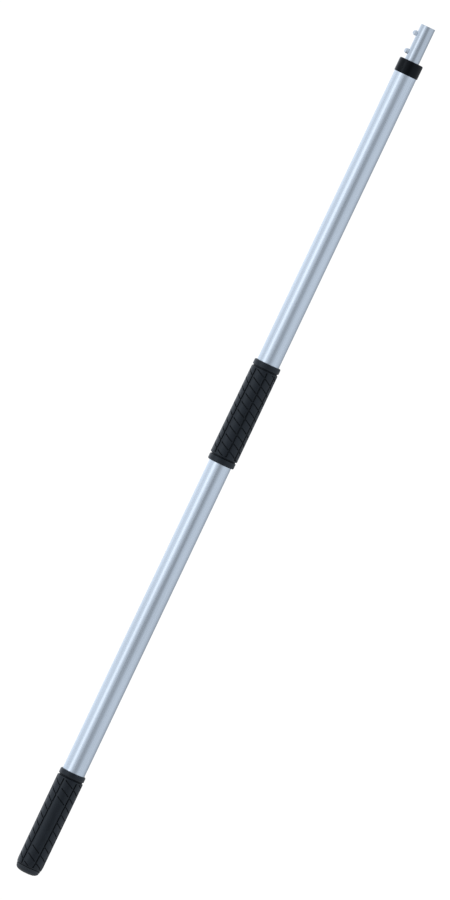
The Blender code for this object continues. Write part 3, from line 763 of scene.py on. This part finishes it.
def add_floor():
    """A pale round sweep under the pole, which hangs clear of it."""
    edge = arc(FLOOR_RADIUS, -0.01, 0.01, -90, 90, 6)
    shape = lathe([(0, -0.02), (FLOOR_RADIUS, -0.02), *edge, (0, 0)], 96)
    bmesh.ops.translate(shape, vec=(0, 0, -FLOOR_DROP), verts=shape.verts)
    paint = Shader("pale_floor", (0.87, 0.83, 0.78), 0.8)
    paint.colour(paint.ramp(paint.noise((6, 6, 6)), [(0.3, (0.86, 0.82, 0.77)), (0.7, (0.88, 0.84, 0.79))]))
    bmesh.ops.recalc_face_normals(shape, faces=shape.faces)
    mesh = bpy.data.meshes.new("floor")
    shape.to_mesh(mesh)
    shape.free()
    mesh.shade_smooth()
    mesh.set_sharp_from_angle(angle=math.radians(40))
    mesh.materials.append(paint.material)
    floor = bpy.data.objects.new("floor", mesh)
    bpy.context.scene.collection.objects.link(floor)


# The studio's brightness by direction: degrees from the front towards +X, and how bright it is there.
STUDIO = [
    (-180, 1.0), (-150, 1.10), (-120, 1.02), (-100, 0.84), (-80, 0.80), (-60, 0.90),
    (-34, 0.84), (-14, 0.62), (-2, 0.40), (16, 0.35), (30, 0.57), (44, 0.73),
    (90, 0.74), (120, 0.56), (150, 0.36), (165, 0.36), (180, 1.0),
]
STUDIO_TINT = (0.93, 1.0, 1.09)
PANEL_TURN, PANEL_DISTANCE = -48, 3.0  # where the tall light panel stands
PANEL_WIDTH, PANEL_HEIGHT, PANEL_GLOW = 1.1, 4.0, 0.55


def add_light():
    """A soft room round the pole, brighter and darker by direction, against a white ground."""
    world = bpy.data.worlds.new("studio")
    bpy.context.scene.world = world
    world.use_nodes = True
    nodes, links = world.node_tree.nodes, world.node_tree.links
    where = nodes.new("ShaderNodeTexCoord")
    apart = nodes.new("ShaderNodeSeparateXYZ")
    links.new(where.outputs["Generated"], apart.inputs[0])
    back = nodes.new("ShaderNodeMath")
    back.operation = "MULTIPLY"
    back.inputs[1].default_value = -1
    links.new(apart.outputs["Y"], back.inputs[0])
    turn = nodes.new("ShaderNodeMath")
    turn.operation = "ARCTAN2"
    links.new(apart.outputs["X"], turn.inputs[0])
    links.new(back.outputs[0], turn.inputs[1])
    share = nodes.new("ShaderNodeMapRange")
    for name, value in (("From Min", -math.pi), ("From Max", math.pi), ("To Min", 0), ("To Max", 1)):
        share.inputs[name].default_value = value
    links.new(turn.outputs[0], share.inputs["Value"])
    ramp = nodes.new("ShaderNodeValToRGB")
    elements = ramp.color_ramp.elements
    while len(elements) < len(STUDIO):
        elements.new(1.0)
    for element, (degrees, level) in zip(elements, STUDIO):
        element.position = (degrees + 180) / 360
        element.color = (*scaled(STUDIO_TINT, level), 1)
    links.new(share.outputs["Result"], ramp.inputs["Fac"])
    room = nodes["Background"]
    links.new(ramp.outputs["Color"], room.inputs["Color"])
    white = nodes.new("ShaderNodeBackground")
    white.inputs["Color"].default_value = (1, 1, 1, 1)
    white.inputs["Strength"].default_value = 1.05
    seen = nodes.new("ShaderNodeLightPath")
    pick = nodes.new("ShaderNodeMixShader")
    links.new(seen.outputs["Is Camera Ray"], pick.inputs["Fac"])
    links.new(room.outputs[0], pick.inputs[1])
    links.new(white.outputs[0], pick.inputs[2])
    links.new(pick.outputs[0], nodes["World Output"].inputs["Surface"])
    bpy.context.scene.view_settings.view_transform = "Standard"

    data = bpy.data.lights.new("panel", "AREA")
    data.shape, data.size, data.size_y = "RECTANGLE", PANEL_WIDTH, PANEL_HEIGHT
    data.energy = PANEL_GLOW * math.pi * PANEL_WIDTH * PANEL_HEIGHT
    panel = bpy.data.objects.new("panel", data)
    angle = math.radians(PANEL_TURN)
    height = centre_of("outer_tube")[2]
    panel.location = (PANEL_DISTANCE * math.sin(angle), -PANEL_DISTANCE * math.cos(angle), height)
    panel.rotation_euler = (math.pi / 2, 0, angle)
    panel.visible_camera = False
    bpy.context.scene.collection.objects.link(panel)


add_camera()
add_light()
add_floor()
finish_cad_nodes()
outer_tube()
inner_tube()
butt_cap()
top_collar()
collar_rivets()
snap_buttons()
snap_spring()
mid_grip()
bottom_grip()
